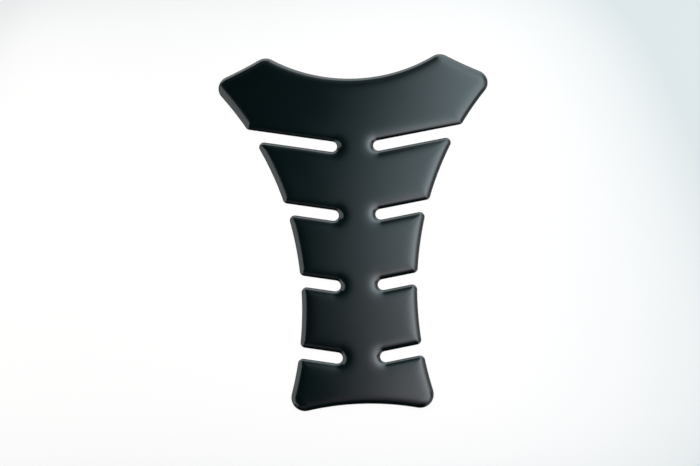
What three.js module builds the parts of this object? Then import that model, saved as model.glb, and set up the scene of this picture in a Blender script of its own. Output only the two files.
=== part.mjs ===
import * as THREE from 'three';

// A motorcycle tank pad: one moulded slab of domed gel, lying on its flat adhesive back.
// Sizes are in millimetres. +X is the rider's right, +Y runs up the tank to the wings, +Z is out of the back.
// Stations are heights along Y above the middle of the foot edge.

const scoopStation = 198; // middle of the hollow top edge
const scoopRadius = 100;
const footRadius = 165; // hollow bottom edge
const waistStation = 59.6; // where the flanks come closest
const waistWidth = 68.5;
const flankRadius = 201; // one hollow curve down each side, through every rib
const shoulderStation = 206.3; // a point on the slanted edge between wing tip and outer corner
const shoulderReach = 67; // that point's distance from the middle line
const shoulderSlope = 27.5; // degrees below level, going outwards
const shoulderRadius = 250;
const cornerRadius = 8; // wing tips, outer corners and foot corners

const slotCount = 4; // on each side
const slotWidth = 6.5;
const slotPitch = 42.7;
const lowestSlotStation = 27;
const slotSlope = 9.8; // degrees above level, going outwards
const mouthRadius = 3; // where a slot opens through the flank
const spineWidth = 22; // material left between the round slot ends

const filmThickness = 0.2; // square edge of the carrier film
const domeHeight = 1.9; // gel above the film, on the flat of the dome
const meniscusLength = 1.7; // how fast the gel rises: 63 % of its height this far in from the rim
const domeRun = 7.5; // the gel is flat from here inwards
const sharpestCrease = 0.6; // radius of a corner's ridge line where the dome has outrun its fillet

const steps = { scoop: 8, corner: 6, shoulder: 2, flank: 3, mouth: 4, slotEnd: 8, foot: 5, dome: 6 };

const radians = THREE.MathUtils.degToRad;
const vector = (x, y) => new THREE.Vector2(x, y);
const polar = (angle, length = 1) => vector(length * Math.cos(angle), length * Math.sin(angle));

// A hollow edge is a stretch of a circle centred outside the slab; a straight edge has a normal into the slab.
const hollow = (centre, radius) => ({ centre, radius });
const straight = (point, normal) => ({ point, normal });

const shoulderOutward = polar(radians(90 - shoulderSlope), shoulderRadius);
const edges = {
  scoop: hollow(vector(0, scoopStation + scoopRadius), scoopRadius),
  shoulder: hollow(vector(shoulderReach, shoulderStation).add(shoulderOutward), shoulderRadius),
  flank: hollow(vector(waistWidth / 2 + flankRadius, waistStation), flankRadius),
  foot: hollow(vector(0, -footRadius), footRadius),
};

function flankPoint(station) {
  const rise = station - waistStation;
  const { centre, radius } = edges.flank;
  return vector(centre.x - Math.sqrt(radius ** 2 - rise ** 2), station);
}

// The crossing of a circle with another circle, both grown by a reach, that lies nearest to a point.
function crossCircles(a, b, reach, near) {
  const between = b.centre.clone().sub(a.centre);
  const distance = between.length();
  const radiusA = a.radius + reach;
  const along = (distance ** 2 + radiusA ** 2 - (b.radius + reach) ** 2) / (2 * distance);
  const across = Math.sqrt(Math.max(radiusA ** 2 - along ** 2, 0));
  return nearest(a.centre, between.divideScalar(distance), along, across, near);
}

// The crossing of a circle with a straight edge, both moved into the slab by a reach.
function crossLine(circle, line, reach, near) {
  const grown = circle.radius + reach;
  const along = line.point.clone().sub(circle.centre).dot(line.normal) + reach;
  const across = Math.sqrt(Math.max(grown ** 2 - along ** 2, 0));
  return nearest(circle.centre, line.normal, along, across, near);
}

function nearest(origin, direction, along, across, near) {
  const side = vector(-direction.y, direction.x);
  const middle = origin.clone().addScaledVector(direction, along);
  const choices = [across, -across].map((shift) => middle.clone().addScaledVector(side, shift));
  return choices.sort((p, q) => p.distanceTo(near) - q.distanceTo(near))[0];
}

// The point of an edge, moved in by an inset, that is closest to a fillet's centre.
function touch(edge, centre, inset) {
  if (edge.normal) {
    const height = centre.clone().sub(edge.point).dot(edge.normal) - inset;
    return centre.clone().addScaledVector(edge.normal, -height);
  }
  const outwards = centre.clone().sub(edge.centre).setLength(edge.radius + inset);
  return outwards.add(edge.centre);
}

// A rounded corner between two edges: its centre stays put while the inset eats into its radius.
function corner(a, b, radius, near, inset) {
  const reach = inset + Math.max(radius - inset, sharpestCrease);
  const centre = b.normal ? crossLine(a, b, reach, near) : crossCircles(a, b, reach, near);
  return { centre, start: touch(a, centre, inset), end: touch(b, centre, inset) };
}

// Points of an arc after its first one.
function arc(centre, radius, startAngle, sweep, count) {
  const angles = Array.from({ length: count }, (_, i) => startAngle + (sweep * (i + 1)) / count);
  return angles.map((angle) => polar(angle, radius).add(centre));
}

// The short way round a centre from one point to another.
function arcBetween(centre, from, to, count) {
  const startAngle = from.clone().sub(centre).angle();
  const turn = to.clone().sub(centre).angle() - startAngle;
  const sweep = Math.atan2(Math.sin(turn), Math.cos(turn));
  return arc(centre, from.distanceTo(centre), startAngle, sweep, count);
}

// Runs along a hollow edge to a rounded corner and round it.
function followTo(points, edge, bend, edgeSteps, bendSteps) {
  points.push(...arcBetween(edge.centre, points.at(-1), bend.start, edgeSteps));
  points.push(...arcBetween(bend.centre, bend.start, bend.end, bendSteps));
}

// Into a slot along its upper side, round its end and out along its lower side.
function addSlot(points, station, inset) {
  const tilt = radians(slotSlope);
  const across = polar(tilt + Math.PI / 2);
  const end = vector(spineWidth / 2 + slotWidth / 2, station);
  const upper = straight(end.clone().addScaledVector(across, slotWidth / 2), across);
  const lower = straight(end.clone().addScaledVector(across, -slotWidth / 2), across.clone().negate());
  const mouth = flankPoint(station + (flankPoint(station).x - end.x) * Math.tan(tilt));
  const lip = corner(edges.flank, upper, mouthRadius, mouth, inset);
  const toe = corner(edges.flank, lower, mouthRadius, mouth, inset);
  followTo(points, edges.flank, lip, steps.flank, steps.mouth);
  points.push(touch(upper, end, inset));
  points.push(...arc(end, slotWidth / 2 + inset, tilt + Math.PI / 2, Math.PI, steps.slotEnd));
  points.push(toe.end, ...arcBetween(toe.centre, toe.end, toe.start, steps.mouth));
}

// The right half of the outline, moved in by an inset, from the scoop down to the foot.
function halfOutline(inset) {
  const { scoop, shoulder, flank, foot } = edges;
  const shoulderPoint = vector(shoulderReach, shoulderStation);
  const points = [vector(0, scoopStation - inset)];
  followTo(points, scoop, corner(scoop, shoulder, cornerRadius, shoulderPoint, inset), steps.scoop, steps.corner);
  followTo(points, shoulder, corner(shoulder, flank, cornerRadius, shoulderPoint, inset), steps.shoulder, steps.corner);
  for (let i = slotCount - 1; i >= 0; i -= 1) {
    addSlot(points, lowestSlotStation + i * slotPitch, inset);
  }
  followTo(points, flank, corner(flank, foot, cornerRadius, flankPoint(0), inset), steps.flank, steps.corner);
  points.push(...arcBetween(foot.centre, points.at(-1), vector(0, inset), steps.foot));
  return points;
}

// The whole outline at a height, anticlockwise seen from above.
function ring(inset, height) {
  const right = halfOutline(inset);
  const left = right.slice(1, -1).reverse().map((point) => vector(-point.x, point.y));
  return [...right, ...left].reverse().map((point) => new THREE.Vector3(point.x, point.y, height));
}

// The gel stands on its film like a puddle: steep at the rim, then level. Rings rise by equal heights.
function domeRings() {
  const run = Math.min(domeRun, 0.45 * spineWidth);
  const fullRise = 1 - Math.exp(-run / meniscusLength);
  return Array.from({ length: steps.dome }, (_, i) => {
    const rise = (fullRise * (i + 1)) / steps.dome;
    return ring(-meniscusLength * Math.log(1 - rise), filmThickness + domeHeight * rise);
  });
}

// Triangles that close a ring, facing up or down.
function cap(points, firstIndex, facesUp) {
  const flat = points.map((point) => vector(point.x, point.y));
  return THREE.ShapeUtils.triangulateShape(flat, []).flatMap((face) => {
    const isUp = THREE.ShapeUtils.area(face.map((i) => flat[i])) > 0;
    const ordered = isUp === facesUp ? face : [face[0], face[2], face[1]];
    return ordered.map((i) => i + firstIndex);
  });
}

function padGeometry() {
  const rings = [ring(0, 0), ring(0, filmThickness), ...domeRings()];
  const count = rings[0].length;
  const faces = [...cap(rings[0], 0, false), ...cap(rings.at(-1), (rings.length - 1) * count, true)];
  for (let level = 0; level < rings.length - 1; level += 1) {
    for (let i = 0; i < count; i += 1) {
      const a = level * count + i;
      const b = level * count + ((i + 1) % count);
      faces.push(a, b, b + count, a, b + count, a + count);
    }
  }
  const geometry = new THREE.BufferGeometry().setFromPoints(rings.flat());
  geometry.setIndex(faces);
  geometry.computeVertexNormals();
  geometry.computeBoundingBox();
  return geometry;
}

const satinBlackGel = new THREE.MeshStandardMaterial({ color: 0x14181a, roughness: 0.42, metalness: 0 });

const pad = new THREE.Mesh(padGeometry(), satinBlackGel);
pad.name = 'tank_pad';
pad.position.y = -pad.geometry.boundingBox.getCenter(new THREE.Vector3()).y;

const part = new THREE.Group();
part.add(pad);

export default part;
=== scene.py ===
# A motorcycle's tank pad: one slab of domed black gel, lying on its flat adhesive back.
import math

import bmesh
import bpy
from mathutils import Matrix, Vector
from mathutils.geometry import delaunay_2d_cdt


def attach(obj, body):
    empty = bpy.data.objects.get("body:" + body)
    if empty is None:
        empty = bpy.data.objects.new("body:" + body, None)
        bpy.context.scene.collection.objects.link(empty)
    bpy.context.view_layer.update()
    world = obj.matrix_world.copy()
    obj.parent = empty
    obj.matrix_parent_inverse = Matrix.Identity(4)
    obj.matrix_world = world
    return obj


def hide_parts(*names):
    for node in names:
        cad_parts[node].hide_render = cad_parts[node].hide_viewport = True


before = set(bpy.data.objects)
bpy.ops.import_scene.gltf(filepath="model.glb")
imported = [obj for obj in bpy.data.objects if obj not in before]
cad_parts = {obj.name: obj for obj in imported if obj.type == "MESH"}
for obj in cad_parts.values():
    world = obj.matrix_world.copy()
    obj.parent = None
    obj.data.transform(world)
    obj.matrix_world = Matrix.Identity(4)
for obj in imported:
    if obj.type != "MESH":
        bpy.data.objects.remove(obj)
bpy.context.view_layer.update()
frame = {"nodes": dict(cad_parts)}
mm = 0.001
white = (1, 1, 1, 1)
print("frame loaded:", ", ".join(frame["nodes"]))

# The outline of the pad in millimetres and degrees. Stations are heights above the middle of the foot edge.
outlineSizes = {
    "scoopStation": 198.0, "scoopRadius": 100.0,   # the hollow edge between the wings
    "footRadius": 165.0,
    "waistStation": 59.6, "waistWidth": 68.5, "flankRadius": 201.0,
    "shoulderStation": 206.3, "shoulderReach": 67.0, "shoulderSlope": 27.5, "shoulderRadius": 250.0,
    "cornerRadius": 8.0,
    "slotCount": 4, "slotWidth": 6.5, "slotPitch": 42.7, "lowestSlot": 27.0, "slotSlope": 9.8,
    "mouthRadius": 3.0, "spineWidth": 22.0,
    "ridgeRounding": 0.45,   # how round a corner's ridge grows, as a share of the distance in from the rim
}
# The gel stands on its film like a puddle, steep at the rim and level further in. Millimetres and degrees.
domeSizes = {
    "filmThickness": 0.2, "domeHeight": 1.9,
    "meniscusLength": 1.7,   # the gel has 63 % of its height this far in from the rim
    "run": 9.0,   # level from here inwards
    "weldWithin": 0.002,
    "creaseAngle": 35.0,   # an edge sharper than this isn't shaded round
}
# How many points each stretch of the outline has, and how the sheet is filled in from there.
fineness = {
    "scoop": 48, "corner": 14, "shoulder": 12, "flank": 16, "mouth": 12, "slotSide": 14, "slotEnd": 22,
    "foot": 26, "rings": 30,
    "crowding": 1.6,   # above 1 the rings lie closer together towards the rim
    "topStep": 2.5,   # millimetres between the points of the level top
    "topMargin": 0.6,   # how clear of the last ring they stay, as a share of that step
    "tolerance": 0.000001,
}


def polar(angle, length=1.0):
    return Vector((length * math.cos(angle), length * math.sin(angle)))


def hollow(centre, radius):   # a stretch of a circle whose centre lies outside the slab
    return {"centre": Vector(centre), "radius": radius}


def straight(point, normal):   # a straight edge with its normal into the slab
    return {"point": point, "normal": normal}


def outlineEdges(s):
    outward = polar(math.radians(90 - s["shoulderSlope"]), s["shoulderRadius"])
    shoulderPoint = Vector((s["shoulderReach"], s["shoulderStation"]))
    return {
        "scoop": hollow((0, s["scoopStation"] + s["scoopRadius"]), s["scoopRadius"]),
        "shoulder": hollow(shoulderPoint + outward, s["shoulderRadius"]),
        "flank": hollow((s["waistWidth"] / 2 + s["flankRadius"], s["waistStation"]), s["flankRadius"]),
        "foot": hollow((0, -s["footRadius"]), s["footRadius"]),
    }


def flankPoint(flank, station):
    rise = station - flank["centre"].y
    return Vector((flank["centre"].x - math.sqrt(flank["radius"] ** 2 - rise ** 2), station))


def nearestCrossing(origin, direction, along, across, near):
    side = Vector((-direction.y, direction.x))
    middle = origin + direction * along
    return min((middle + side * across, middle - side * across), key=lambda point: (point - near).length)


def crossing(circle, other, reach, near):   # where two edges meet once both have moved in by a reach
    grown = circle["radius"] + reach
    if "normal" in other:
        direction = other["normal"]
        along = (other["point"] - circle["centre"]).dot(direction) + reach
    else:
        between = other["centre"] - circle["centre"]
        direction = between.normalized()
        gap = between.length
        along = (gap ** 2 + grown ** 2 - (other["radius"] + reach) ** 2) / (2 * gap)
    across = math.sqrt(max(grown ** 2 - along ** 2, 0))
    return nearestCrossing(circle["centre"], direction, along, across, near)


def touch(edge, centre, inset):   # where a rounding about a centre meets an edge moved in by an inset
    if "normal" in edge:
        return centre - edge["normal"] * ((centre - edge["point"]).dot(edge["normal"]) - inset)
    return edge["centre"] + (centre - edge["centre"]).normalized() * (edge["radius"] + inset)


# A corner turns about one centre until the inset has used its radius up; its ridge then grows rounder again.
def corner(a, b, radius, near, inset, rounding):
    reach = inset + max(radius - inset, rounding * inset)
    centre = crossing(a, b, reach, near)
    return {"centre": centre, "start": touch(a, centre, inset), "end": touch(b, centre, inset)}


def arc(centre, radius, startAngle, sweep, count):   # leaves out the first point
    return [centre + polar(startAngle + sweep * (i + 1) / count, radius) for i in range(count)]


def arcBetween(centre, start, end, count):   # the short way round
    a, b = start - centre, end - centre
    sweep = math.atan2(a.x * b.y - a.y * b.x, a.dot(b))
    return arc(centre, a.length, math.atan2(a.y, a.x), sweep, count)


def lineBetween(start, end, count):   # leaves out the first point too
    return [start.lerp(end, (i + 1) / count) for i in range(count)]


def followTo(points, edge, bend, edgeSteps, bendSteps):   # along a hollow edge and round the next corner
    points += arcBetween(edge["centre"], points[-1], bend["start"], edgeSteps)
    points += arcBetween(bend["centre"], bend["start"], bend["end"], bendSteps)


def addSlot(points, s, flank, station, inset):   # in along its upper side, round its end and out again
    tilt = math.radians(s["slotSlope"])
    half = s["slotWidth"] / 2
    across = polar(tilt + math.pi / 2)
    end = Vector((s["spineWidth"] / 2 + half, station))
    upper = straight(end + across * half, across)
    lower = straight(end - across * half, -across)
    mouth = flankPoint(flank, station + (flankPoint(flank, station).x - end.x) * math.tan(tilt))
    lip = corner(flank, upper, s["mouthRadius"], mouth, inset, s["ridgeRounding"])
    toe = corner(flank, lower, s["mouthRadius"], mouth, inset, s["ridgeRounding"])
    followTo(points, flank, lip, fineness["flank"], fineness["mouth"])
    points += lineBetween(points[-1], touch(upper, end, inset), fineness["slotSide"])
    points += arc(end, half + inset, tilt + math.pi / 2, math.pi, fineness["slotEnd"])
    points += lineBetween(points[-1], toe["end"], fineness["slotSide"])
    points += arcBetween(toe["centre"], toe["end"], toe["start"], fineness["mouth"])


def halfOutline(s, inset):   # the right half, from the scoop down to the foot
    edges = outlineEdges(s)
    flank, shoulder = edges["flank"], edges["shoulder"]
    near = Vector((s["shoulderReach"], s["shoulderStation"]))
    tip = corner(edges["scoop"], shoulder, s["cornerRadius"], near, inset, s["ridgeRounding"])
    outer = corner(shoulder, flank, s["cornerRadius"], near, inset, s["ridgeRounding"])
    heel = corner(flank, edges["foot"], s["cornerRadius"], flankPoint(flank, 0), inset, s["ridgeRounding"])
    points = [Vector((0, s["scoopStation"] - inset))]
    followTo(points, edges["scoop"], tip, fineness["scoop"], fineness["corner"])
    followTo(points, shoulder, outer, fineness["shoulder"], fineness["corner"])
    for i in reversed(range(s["slotCount"])):
        addSlot(points, s, flank, s["lowestSlot"] + i * s["slotPitch"], inset)
    followTo(points, flank, heel, fineness["flank"], fineness["corner"])
    points += arcBetween(edges["foot"]["centre"], points[-1], Vector((0, inset)), fineness["foot"])
    return points


def wholeOutline(s, inset):   # anticlockwise seen from above
    right = halfOutline(s, inset)
    left = [Vector((-p.x, p.y)) for p in reversed(right[1:-1])]
    return list(reversed(right + left))


def insideRing(point, ring, margin):   # is the point within the ring and clear of it by a margin
    crossings = 0
    for a, b in zip(ring, ring[1:] + ring[:1]):
        straddles = (a.y > point.y) != (b.y > point.y)
        if straddles and point.x < a.x + (b.x - a.x) * (point.y - a.y) / (b.y - a.y):
            crossings += 1
    return crossings % 2 == 1 and min((point - q).length for q in ring) > margin


def fillTop(verts, insets, faces, ring, middle):   # closes the level top with even triangles
    step = fineness["topStep"]
    low, high = min(q.y for q in ring), max(q.y for q in ring)
    rows = int((high - low) / step)
    columns = int(max(q.x for q in ring) / step)
    grid = [Vector((i * step, low + j * step))
            for j in range(1, rows + 1) for i in range(-columns, columns + 1)]
    loose = [point for point in grid if insideRing(point, ring, fineness["topMargin"] * step)]
    count = len(ring)
    first = len(verts) - count
    edges = [(i, (i + 1) % count) for i in range(count)]
    withinEdges = 1   # the kind of output that keeps only the triangles within the ring
    filled, came = delaunay_2d_cdt(ring + loose, edges, [], withinEdges, fineness["tolerance"])[2:4]
    verts += [(p.x * mm, (p.y - middle) * mm, 0) for p in loose]
    insets += [insets[-1]] * len(loose)
    faces += [[first + came[i][0] for i in face] for face in filled]


def flatSheet(s, dome):   # the outline as a flat mesh; each point holds its distance in from the rim
    rim = wholeOutline(s, 0)
    middle = (max(p.y for p in rim) + min(p.y for p in rim)) / 2
    count, rings = len(rim), fineness["rings"]
    verts, insets, faces = [], [], []
    for k in range(rings + 1):
        inset = dome["run"] * (k / rings) ** fineness["crowding"]
        ring = wholeOutline(s, inset)
        verts += [(p.x * mm, (p.y - middle) * mm, 0) for p in ring]
        insets += [inset * mm] * count
    for k in range(rings):
        for i in range(count):
            a, b = k * count + i, k * count + (i + 1) % count
            faces.append([a, b, b + count, a + count])
    fillTop(verts, insets, faces, ring, middle)
    mesh = bpy.data.meshes.new("gelPad")
    mesh.from_pydata(verts, [], faces)
    mesh.attributes.new("inset", "FLOAT", "POINT").data.foreach_set("value", insets)
    return mesh


class Tree:   # a little help to wire nodes
    def __init__(self, tree):
        self.tree = tree

    def node(self, kind, **settings):
        made = self.tree.nodes.new(kind)
        for name, value in settings.items():
            setattr(made, name, value)
        return made

    def put(self, value, socket):
        if isinstance(value, bpy.types.NodeSocket):
            self.tree.links.new(value, socket)
        else:
            socket.default_value = value

    def math(self, operation, *values):
        made = self.node("ShaderNodeMath", operation=operation)
        for value, socket in zip(values, made.inputs):
            self.put(value, socket)
        return made.outputs[0]

    def stretch(self, value, source, target, curve="LINEAR"):   # one range onto another, held at its ends
        made = self.node("ShaderNodeMapRange", interpolation_type=curve)
        self.put(value, made.inputs["Value"])
        for name, number in zip(("From Min", "From Max", "To Min", "To Max"), (*source, *target)):
            made.inputs[name].default_value = number
        return made.outputs["Result"]


def domeTree():   # lifts the flat sheet into the gel's dome and closes it with the film's edge and back
    group = bpy.data.node_groups.new("gelDome", "GeometryNodeTree")
    group.is_modifier = True
    interface = group.interface
    interface.new_socket("Geometry", in_out="INPUT", socket_type="NodeSocketGeometry")
    for name in ("Film Thickness", "Dome Height", "Meniscus Length", "Weld Distance"):
        interface.new_socket(name, in_out="INPUT", socket_type="NodeSocketFloat")
    interface.new_socket("Gel", in_out="INPUT", socket_type="NodeSocketMaterial")
    interface.new_socket("Geometry", in_out="OUTPUT", socket_type="NodeSocketGeometry")
    t = Tree(group)
    given = t.node("NodeGroupInput").outputs

    # the gel's height: a share 1 - exp(-distance / length) of the dome's, above the film
    inset = t.node("GeometryNodeInputNamedAttribute", data_type="FLOAT")
    inset.inputs["Name"].default_value = "inset"
    lengths = t.math("DIVIDE", inset.outputs[0], given["Meniscus Length"])
    decay = t.math("EXPONENT", t.math("MULTIPLY", lengths, -1.0))
    gel = t.math("MULTIPLY", t.math("SUBTRACT", 1.0, decay), given["Dome Height"])
    height = t.node("ShaderNodeCombineXYZ")
    t.put(t.math("ADD", gel, given["Film Thickness"]), height.inputs["Z"])
    lift = t.node("GeometryNodeSetPosition")
    t.put(given["Geometry"], lift.inputs["Geometry"])
    t.put(height.outputs[0], lift.inputs["Offset"])

    # the rim is where an edge has only one face
    neighbours = t.node("GeometryNodeInputMeshEdgeNeighbors")
    rim = t.node("FunctionNodeCompare", data_type="INT", operation="EQUAL")
    t.put(neighbours.outputs[0], rim.inputs[2])   # inputs 2 and 3 are its whole numbers
    rim.inputs[3].default_value = 1

    # the film's edge, from the rim down to the back
    down = t.node("ShaderNodeCombineXYZ")
    t.put(t.math("MULTIPLY", given["Film Thickness"], -1.0), down.inputs["Z"])
    wall = t.node("GeometryNodeExtrudeMesh", mode="EDGES")
    t.put(lift.outputs[0], wall.inputs["Mesh"])
    t.put(rim.outputs[0], wall.inputs["Selection"])
    t.put(down.outputs[0], wall.inputs["Offset"])
    wall.inputs["Offset Scale"].default_value = 1.0

    # the flat back fills the sheet's own rim
    loop = t.node("GeometryNodeMeshToCurve")
    t.put(given["Geometry"], loop.inputs["Mesh"])
    t.put(rim.outputs[0], loop.inputs["Selection"])
    back = t.node("GeometryNodeFillCurve")
    t.put(loop.outputs[0], back.inputs["Curve"])

    join = t.node("GeometryNodeJoinGeometry")
    t.put(back.outputs[0], join.inputs[0])
    t.put(wall.outputs["Mesh"], join.inputs[0])
    weld = t.node("GeometryNodeMergeByDistance")
    t.put(join.outputs[0], weld.inputs["Geometry"])
    t.put(given["Weld Distance"], weld.inputs["Distance"])
    smooth = t.node("GeometryNodeSetShadeSmooth")
    t.put(weld.outputs[0], smooth.inputs["Geometry"])
    real = t.node("GeometryNodeRealizeInstances")
    t.put(smooth.outputs[0], real.inputs["Geometry"])
    finish = t.node("GeometryNodeSetMaterial")
    t.put(real.outputs[0], finish.inputs["Geometry"])
    t.put(given["Gel"], finish.inputs["Material"])
    t.put(finish.outputs[0], t.node("NodeGroupOutput").inputs["Geometry"])
    return group


def setInputs(modifier, values):   # by each socket's identifier
    for item in modifier.node_group.interface.items_tree:
        if item.item_type == "SOCKET" and item.in_out == "INPUT" and item.name in values:
            modifier[item.identifier] = values[item.name]


def faceOutwards(mesh):   # the mesh is closed and welded by now
    work = bmesh.new()
    work.from_mesh(mesh)
    bmesh.ops.recalc_face_normals(work, faces=work.faces)
    work.to_mesh(mesh)
    work.free()


def makePad(material):
    shape = bpy.data.objects.new("gelSheet", flatSheet(outlineSizes, domeSizes))
    bpy.context.collection.objects.link(shape)
    dome = shape.modifiers.new("dome", "NODES")
    dome.node_group = domeTree()
    setInputs(dome, {
        "Film Thickness": domeSizes["filmThickness"] * mm,
        "Dome Height": domeSizes["domeHeight"] * mm,
        "Meniscus Length": domeSizes["meniscusLength"] * mm,
        "Weld Distance": domeSizes["weldWithin"] * mm,
        "Gel": material,
    })
    graph = bpy.context.evaluated_depsgraph_get()
    mesh = bpy.data.meshes.new_from_object(shape.evaluated_get(graph))
    bpy.data.objects.remove(shape)
    faceOutwards(mesh)
    mesh.set_sharp_from_angle(angle=math.radians(domeSizes["creaseAngle"]))
    pad = bpy.data.objects.new("domedGelPad", mesh)
    bpy.context.collection.objects.link(pad)
    return pad


# Black gel: nearly black in itself, so what shows is the room mirrored in a soft sheen with a faint wide haze.
# Its skin has a fine grain and lies very slightly uneven; the film's edge and the back are plain matt black.
# Heights are in millimetres. A scale is about how many of a noise's bumps lie in a metre.
gelFinish = {
    "colour": (0.0001, 0.0022, 0.0024, 1),
    "hazeRoughness": 0.45, "hazeLevel": 0.05, "hazeTint": (0.5, 1.0, 1.05, 1),
    "sheenIndex": 1.65, "sheenRoughness": (0.125, 0.155),   # it drifts between these two from place to place
    "filmRoughness": 0.5, "filmTop": 0.19,
    "driftScale": 60.0, "driftDetail": 2.0, "driftRange": (0.3, 0.7),   # most of this noise lies in the range
    "waveScale": 42.0, "waveDetail": 0.0, "waveHeight": 0.012,
    "grainScale": 2400.0, "grainDetail": 1.0, "grainHeight": 0.0008,
}


def noise(t, place, scale, detail):
    made = t.node("ShaderNodeTexNoise")
    t.put(place, made.inputs["Vector"])
    made.inputs["Scale"].default_value = scale
    made.inputs["Detail"].default_value = detail
    return made.outputs[0]


def bump(t, height, distance, normal=None):
    made = t.node("ShaderNodeBump")
    t.put(height, made.inputs["Height"])
    made.inputs["Strength"].default_value = 1.0
    made.inputs["Distance"].default_value = distance
    if normal:
        t.put(normal, made.inputs["Normal"])
    return made.outputs[0]


def gelMaterial():
    finish = gelFinish
    material = bpy.data.materials.new("satinBlackGel")
    material.use_nodes = True
    t = Tree(material.node_tree)
    place = t.node("ShaderNodeTexCoord").outputs["Object"]
    split = t.node("ShaderNodeSeparateXYZ")
    t.put(place, split.inputs[0])
    onGel = t.math("GREATER_THAN", split.outputs["Z"], finish["filmTop"] * mm)
    film = t.math("SUBTRACT", 1.0, onGel)
    extraRoughness = finish["filmRoughness"] - finish["hazeRoughness"]
    drift = noise(t, place, finish["driftScale"], finish["driftDetail"])
    waves = noise(t, place, finish["waveScale"], finish["waveDetail"])
    grain = noise(t, place, finish["grainScale"], finish["grainDetail"])
    uneven = bump(t, waves, finish["waveHeight"] * mm)
    skin = bump(t, grain, finish["grainHeight"] * mm, uneven)
    shader = material.node_tree.nodes["Principled BSDF"]
    shader.inputs["Base Color"].default_value = finish["colour"]
    shader.inputs["Specular IOR Level"].default_value = finish["hazeLevel"]
    shader.inputs["Specular Tint"].default_value = finish["hazeTint"]
    shader.inputs["Coat IOR"].default_value = finish["sheenIndex"]
    t.put(t.math("MULTIPLY_ADD", film, extraRoughness, finish["hazeRoughness"]), shader.inputs["Roughness"])
    t.put(onGel, shader.inputs["Coat Weight"])
    t.put(t.stretch(drift, finish["driftRange"], finish["sheenRoughness"]), shader.inputs["Coat Roughness"])
    t.put(skin, shader.inputs["Normal"])
    t.put(skin, shader.inputs["Coat Normal"])
    return material


# Pale card, in metres. The camera and mirrored rays see mostly the card's own white, with painted shade that
# darkens it to the right, towards both ends and most of all at the far right corner.
floorLook = {
    "size": 4.0, "drop": 0.00005,   # drop is how far the card lies below the pad's back
    "colour": (0.96, 0.86, 0.81, 1), "litShare": 0.3,
    # painted shade on the card: its tint and greatest depth, then for each part where it starts, how far it
    # reaches, how steeply it grows and how dark it gets
    "ownWhite": 1.1, "paintedShadeTint": (1.24, 1.0, 0.93), "mostPaintedShade": 0.4,
    "rightFrom": -0.06, "rightReach": 0.26, "rightPower": 3.0, "rightPaintedShade": 0.25,
    "endReach": 0.14, "endPower": 6.0, "endPaintedShade": 0.07,
    "cornerLean": 0.6, "cornerFrom": 0.14, "cornerReach": 0.13, "cornerPower": 2.0, "cornerPaintedShade": 0.25,
}


def paintedCardShade(t, x, y):   # how much painted shade darkens the card's own white at a place
    look = floorLook
    right = t.math("DIVIDE", t.math("SUBTRACT", x, look["rightFrom"]), look["rightReach"])
    end = t.math("ABSOLUTE", t.math("DIVIDE", y, look["endReach"]))
    lean = t.math("SUBTRACT", t.math("MULTIPLY_ADD", y, look["cornerLean"], x), look["cornerFrom"])
    farCorner = t.math("DIVIDE", lean, look["cornerReach"])
    total = 0.0
    for name, distance in (("right", right), ("end", end), ("corner", farCorner)):
        growth = t.math("POWER", t.math("MAXIMUM", distance, 0.0), look[name + "Power"])
        total = t.math("ADD", total, t.math("MULTIPLY", growth, look[name + "PaintedShade"]))
    return t.math("MINIMUM", total, look["mostPaintedShade"])


def floorMaterial():
    look = floorLook
    material = bpy.data.materials.new("paleCard")
    material.use_nodes = True
    t = Tree(material.node_tree)
    material.node_tree.nodes.clear()
    place = t.node("ShaderNodeSeparateXYZ")
    t.put(t.node("ShaderNodeTexCoord").outputs["Object"], place.inputs[0])
    # painted shade: the card's white is darker to the right, towards both ends and at the far right corner
    paintedShade = paintedCardShade(t, place.outputs["X"], place.outputs["Y"])
    lit = t.node("ShaderNodeBsdfDiffuse")
    lit.inputs["Color"].default_value = look["colour"]
    shade = t.node("ShaderNodeCombineColor")
    for share, socket in zip(look["paintedShadeTint"], shade.inputs):
        t.put(t.math("SUBTRACT", look["ownWhite"], t.math("MULTIPLY", paintedShade, share)), socket)
    own = t.node("ShaderNodeEmission")
    t.put(shade.outputs[0], own.inputs["Color"])
    path = t.node("ShaderNodeLightPath").outputs
    mirrored = t.math("MAXIMUM", path["Is Glossy Ray"], path["Is Transmission Ray"])
    seen = t.math("MAXIMUM", path["Is Camera Ray"], mirrored)
    mix = t.node("ShaderNodeMixShader")
    t.put(t.math("MULTIPLY", seen, 1 - look["litShare"]), mix.inputs[0])
    t.put(lit.outputs[0], mix.inputs[1])
    t.put(own.outputs[0], mix.inputs[2])
    t.put(mix.outputs[0], t.node("ShaderNodeOutputMaterial").inputs["Surface"])
    return material


def makeFloor():
    half = floorLook["size"] / 2
    level = -floorLook["drop"]
    corners = [(-half, -half, level), (half, -half, level), (half, half, level), (-half, half, level)]
    mesh = bpy.data.meshes.new("floor")
    mesh.from_pydata(corners, [], [(0, 1, 2, 3)])
    mesh.materials.append(floorMaterial())
    floor = bpy.data.objects.new("floor", mesh)
    bpy.context.collection.objects.link(floor)


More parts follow.
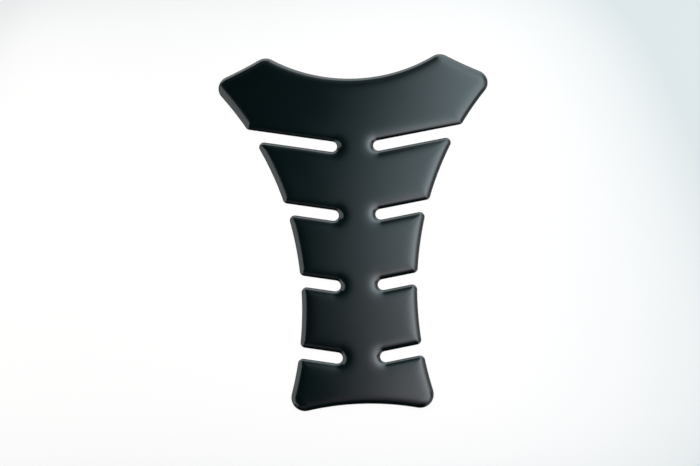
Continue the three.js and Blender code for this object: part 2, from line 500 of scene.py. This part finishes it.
# Each lamp is a flat soft box, in metres: where its middle is, its width and height, brightness and colour.
# It shines straight down unless facing gives another direction. core is the share that shines in full, and
# power is how square the fading round it is. straightSides is the share of the height that fades only sideways.
# lowCast is an extra colour at the end of the box that lies over the foot, and fades out over castFade.
lamps = {
    "mainBox": {"at": (0.231, 0.06, 0.45), "size": (0.572, 0.78), "radiance": 3.45, "tint": (0.83, 1.0, 1.08),
                "core": 0.07, "power": 2.0, "lowCast": (1.16, 1.0, 0.99, 1), "castFade": (0.35, 0.6)},
    "upperBox": {"at": (0.30, 0.60, 0.455), "size": (0.57, 0.96), "radiance": 2.2, "tint": (0.82, 1.0, 1.10),
                 "core": 0.5, "power": 4.0},
    "lowerBox": {"at": (0.37, -0.25, 0.44), "size": (0.54, 0.42), "radiance": 1.9, "tint": (1.03, 1.0, 1.06),
                 "core": 0.35, "power": 3.0},
    "footBox": {"at": (0.07, -0.225, 0.445), "size": (0.22, 0.44), "radiance": 0.38, "tint": (1.1, 1.0, 1.15),
                "core": 0.3, "power": 3.0},
    "nearBox": {"at": (0.10, -0.15, 0.435), "size": (0.22, 0.24), "radiance": 0.5, "tint": (1.0, 1.0, 1.05),
                "core": 0.3, "power": 3.0},
    "halo": {"at": (0.08, 0.06, 0.43), "size": (0.42, 0.80), "radiance": 0.05, "tint": (0.6, 1.0, 1.1),
             "core": 0.3, "power": 3.0},
    "sideBox": {"at": (0.56, 0.15, 0.46), "size": (0.60, 0.48), "radiance": 1.6, "tint": (0.99, 1.0, 1.05),
                "core": 0.07, "power": 2.0, "straightSides": 0.29},
    "rightWall": {"at": (0.80, 0.30, 0.20), "facing": (-1, 0, 0), "size": (2.0, 0.76), "radiance": 0.72,
                  "tint": (0.92, 1.0, 1.05), "core": 0.4, "power": 3.0},
    "leftWall": {"at": (-0.3525, -0.0967, 0.24), "facing": (0.86, -0.5, 0), "size": (0.63, 0.45),
                 "radiance": 1.25, "tint": (0.92, 1.0, 1.02), "core": 0.9, "power": 24.0},
    "frontLeftWall": {"at": (-0.600, -0.485, 0.64), "facing": (0.583, 0.472, 0), "size": (0.58, 0.80),
                      "radiance": 0.75, "tint": (0.92, 1.0, 1.02), "core": 0.1, "power": 3.0,
                      "straightSides": 0.6},
    "frontRightWall": {"at": (0.566, -0.525, 0.28), "facing": (-0.549, 0.512, 0), "size": (0.72, 0.56),
                       "radiance": 0.95, "tint": (0.92, 1.0, 1.05), "core": 0.5, "power": 4.0},
    "backWall": {"at": (0.20, 2.0, 0.44), "facing": (0, -1, 0), "size": (7.0, 1.9), "radiance": 2.35,
                 "tint": (0.89, 1.0, 1.04), "core": 0.25, "power": 8.0},
    "frontFill": {"at": (-0.13, -0.50, 0.55), "facing": (0.13, 0.50, -0.55), "size": (0.36, 0.4),
                  "radiance": 0.2, "tint": (1.08, 0.98, 1.0), "core": 0.4, "power": 3.0},
    "backFill": {"at": (-0.06, 0.54, 0.48), "size": (0.44, 0.44), "radiance": 0.13, "tint": (0.95, 1.0, 1.05),
                 "core": 0.4, "power": 3.0},
}


def fromMiddle(t, value):   # 0 at the middle of a box, 1 at either rim
    return t.math("ABSOLUTE", t.math("MULTIPLY_ADD", value, 2.0, -1.0))


def softEdge(t, spec, across, up):   # fades the box from its core out to its rim
    sides, power = spec.get("straightSides", 0.0), spec["power"]
    end = t.math("DIVIDE", t.math("MAXIMUM", t.math("SUBTRACT", up, sides), 0.0), 1 - sides)
    total = t.math("ADD", t.math("POWER", across, power), t.math("POWER", end, power))
    reach = t.math("POWER", total, 1 / power)
    return t.stretch(reach, (spec["core"], 1.0), (1.0, 0.0), "SMOOTHSTEP")


def lowerCast(t, spec, height):
    cast = t.node("ShaderNodeMix", data_type="RGBA")
    t.put(t.stretch(height, spec["castFade"], (0.0, 1.0), "SMOOTHSTEP"), cast.inputs["Factor"])
    cast.inputs["A"].default_value = spec["lowCast"]
    cast.inputs["B"].default_value = white
    return cast.outputs["Result"]


def makeLamp(name, spec):
    light = bpy.data.lights.new(name, "AREA")
    light.shape = "RECTANGLE"
    light.size, light.size_y = spec["size"]
    # the watts that give a flat box this radiance
    light.energy = spec["radiance"] * math.pi * light.size * light.size_y
    light.color = spec["tint"]
    light.use_nodes = True
    light.node_tree.nodes.clear()
    t = Tree(light.node_tree)
    place = t.node("ShaderNodeSeparateXYZ")
    t.put(t.node("ShaderNodeTexCoord").outputs["UV"], place.inputs[0])
    x, y = place.outputs["X"], place.outputs["Y"]
    glow = t.node("ShaderNodeEmission")
    t.put(softEdge(t, spec, fromMiddle(t, x), fromMiddle(t, y)), glow.inputs["Strength"])
    if "lowCast" in spec:
        t.put(lowerCast(t, spec, y), glow.inputs["Color"])
    t.put(glow.outputs[0], t.node("ShaderNodeOutputLight").inputs["Surface"])
    lamp = bpy.data.objects.new(name, light)
    lamp.location = spec["at"]
    lamp.rotation_euler = Vector(spec.get("facing", (0, 0, -1))).to_track_quat("-Z", "Y").to_euler()
    lamp.visible_camera = False
    bpy.context.collection.objects.link(lamp)


worldLook = {"fill": 0.012, "colour": (0.6, 1.0, 1.05, 1), "shown": 0.93}


def makeWorld():   # the room is dark but for the lamps; past the floor the camera sees pale card
    world = bpy.data.worlds.new("room")
    bpy.context.scene.world = world
    world.use_nodes = True
    t = Tree(world.node_tree)
    world.node_tree.nodes.clear()
    path = t.node("ShaderNodeLightPath").outputs
    dim = t.node("ShaderNodeBackground")
    dim.inputs["Color"].default_value = worldLook["colour"]
    dim.inputs["Strength"].default_value = worldLook["fill"]
    pale = t.node("ShaderNodeBackground")
    pale.inputs["Color"].default_value = white
    pale.inputs["Strength"].default_value = worldLook["shown"]
    mix = t.node("ShaderNodeMixShader")
    t.put(path["Is Camera Ray"], mix.inputs[0])
    t.put(dim.outputs[0], mix.inputs[1])
    t.put(pale.outputs[0], mix.inputs[2])
    t.put(mix.outputs[0], t.node("ShaderNodeOutputWorld").inputs["Surface"])


# The photograph is taken from above, leaning a little over the foot end. Millimetres, degrees and pixels.
cameraView = {"distance": 650.0, "tilt": 10.341, "pan": 0.609, "roll": 1.653,
              "shiftX": 4.530, "shiftY": 3.187,
              "focalPixels": 1082.33, "framePixels": 700, "sensor": 36.0, "clipStart": 10.0}


def makeCamera():
    v = cameraView
    pan = Matrix.Rotation(math.radians(-v["pan"]), 4, "Y")
    tilt = Matrix.Rotation(math.radians(v["tilt"]), 4, "X")
    roll = Matrix.Rotation(math.radians(-v["roll"]), 4, "Z")
    turn = pan @ tilt @ roll
    offset = Vector((-v["shiftX"], -v["shiftY"], v["distance"])) * mm
    data = bpy.data.cameras.new("camera")
    data.sensor_width = v["sensor"]
    data.lens = v["focalPixels"] / v["framePixels"] * v["sensor"]
    data.clip_start = v["clipStart"] * mm
    camera = bpy.data.objects.new("camera", data)
    camera.matrix_world = Matrix.Translation(turn @ offset) @ turn
    bpy.context.collection.objects.link(camera)
    bpy.context.scene.camera = camera


bpy.context.scene.view_settings.view_transform = "Standard"
makeCamera()
makeWorld()
makeFloor()
for name, spec in lamps.items():
    makeLamp(name, spec)
print("camera, floor and lamps in place")

pad = makePad(gelMaterial())
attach(pad, "root")
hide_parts("tank_pad")
print("gel pad made:", len(pad.data.polygons), "faces")
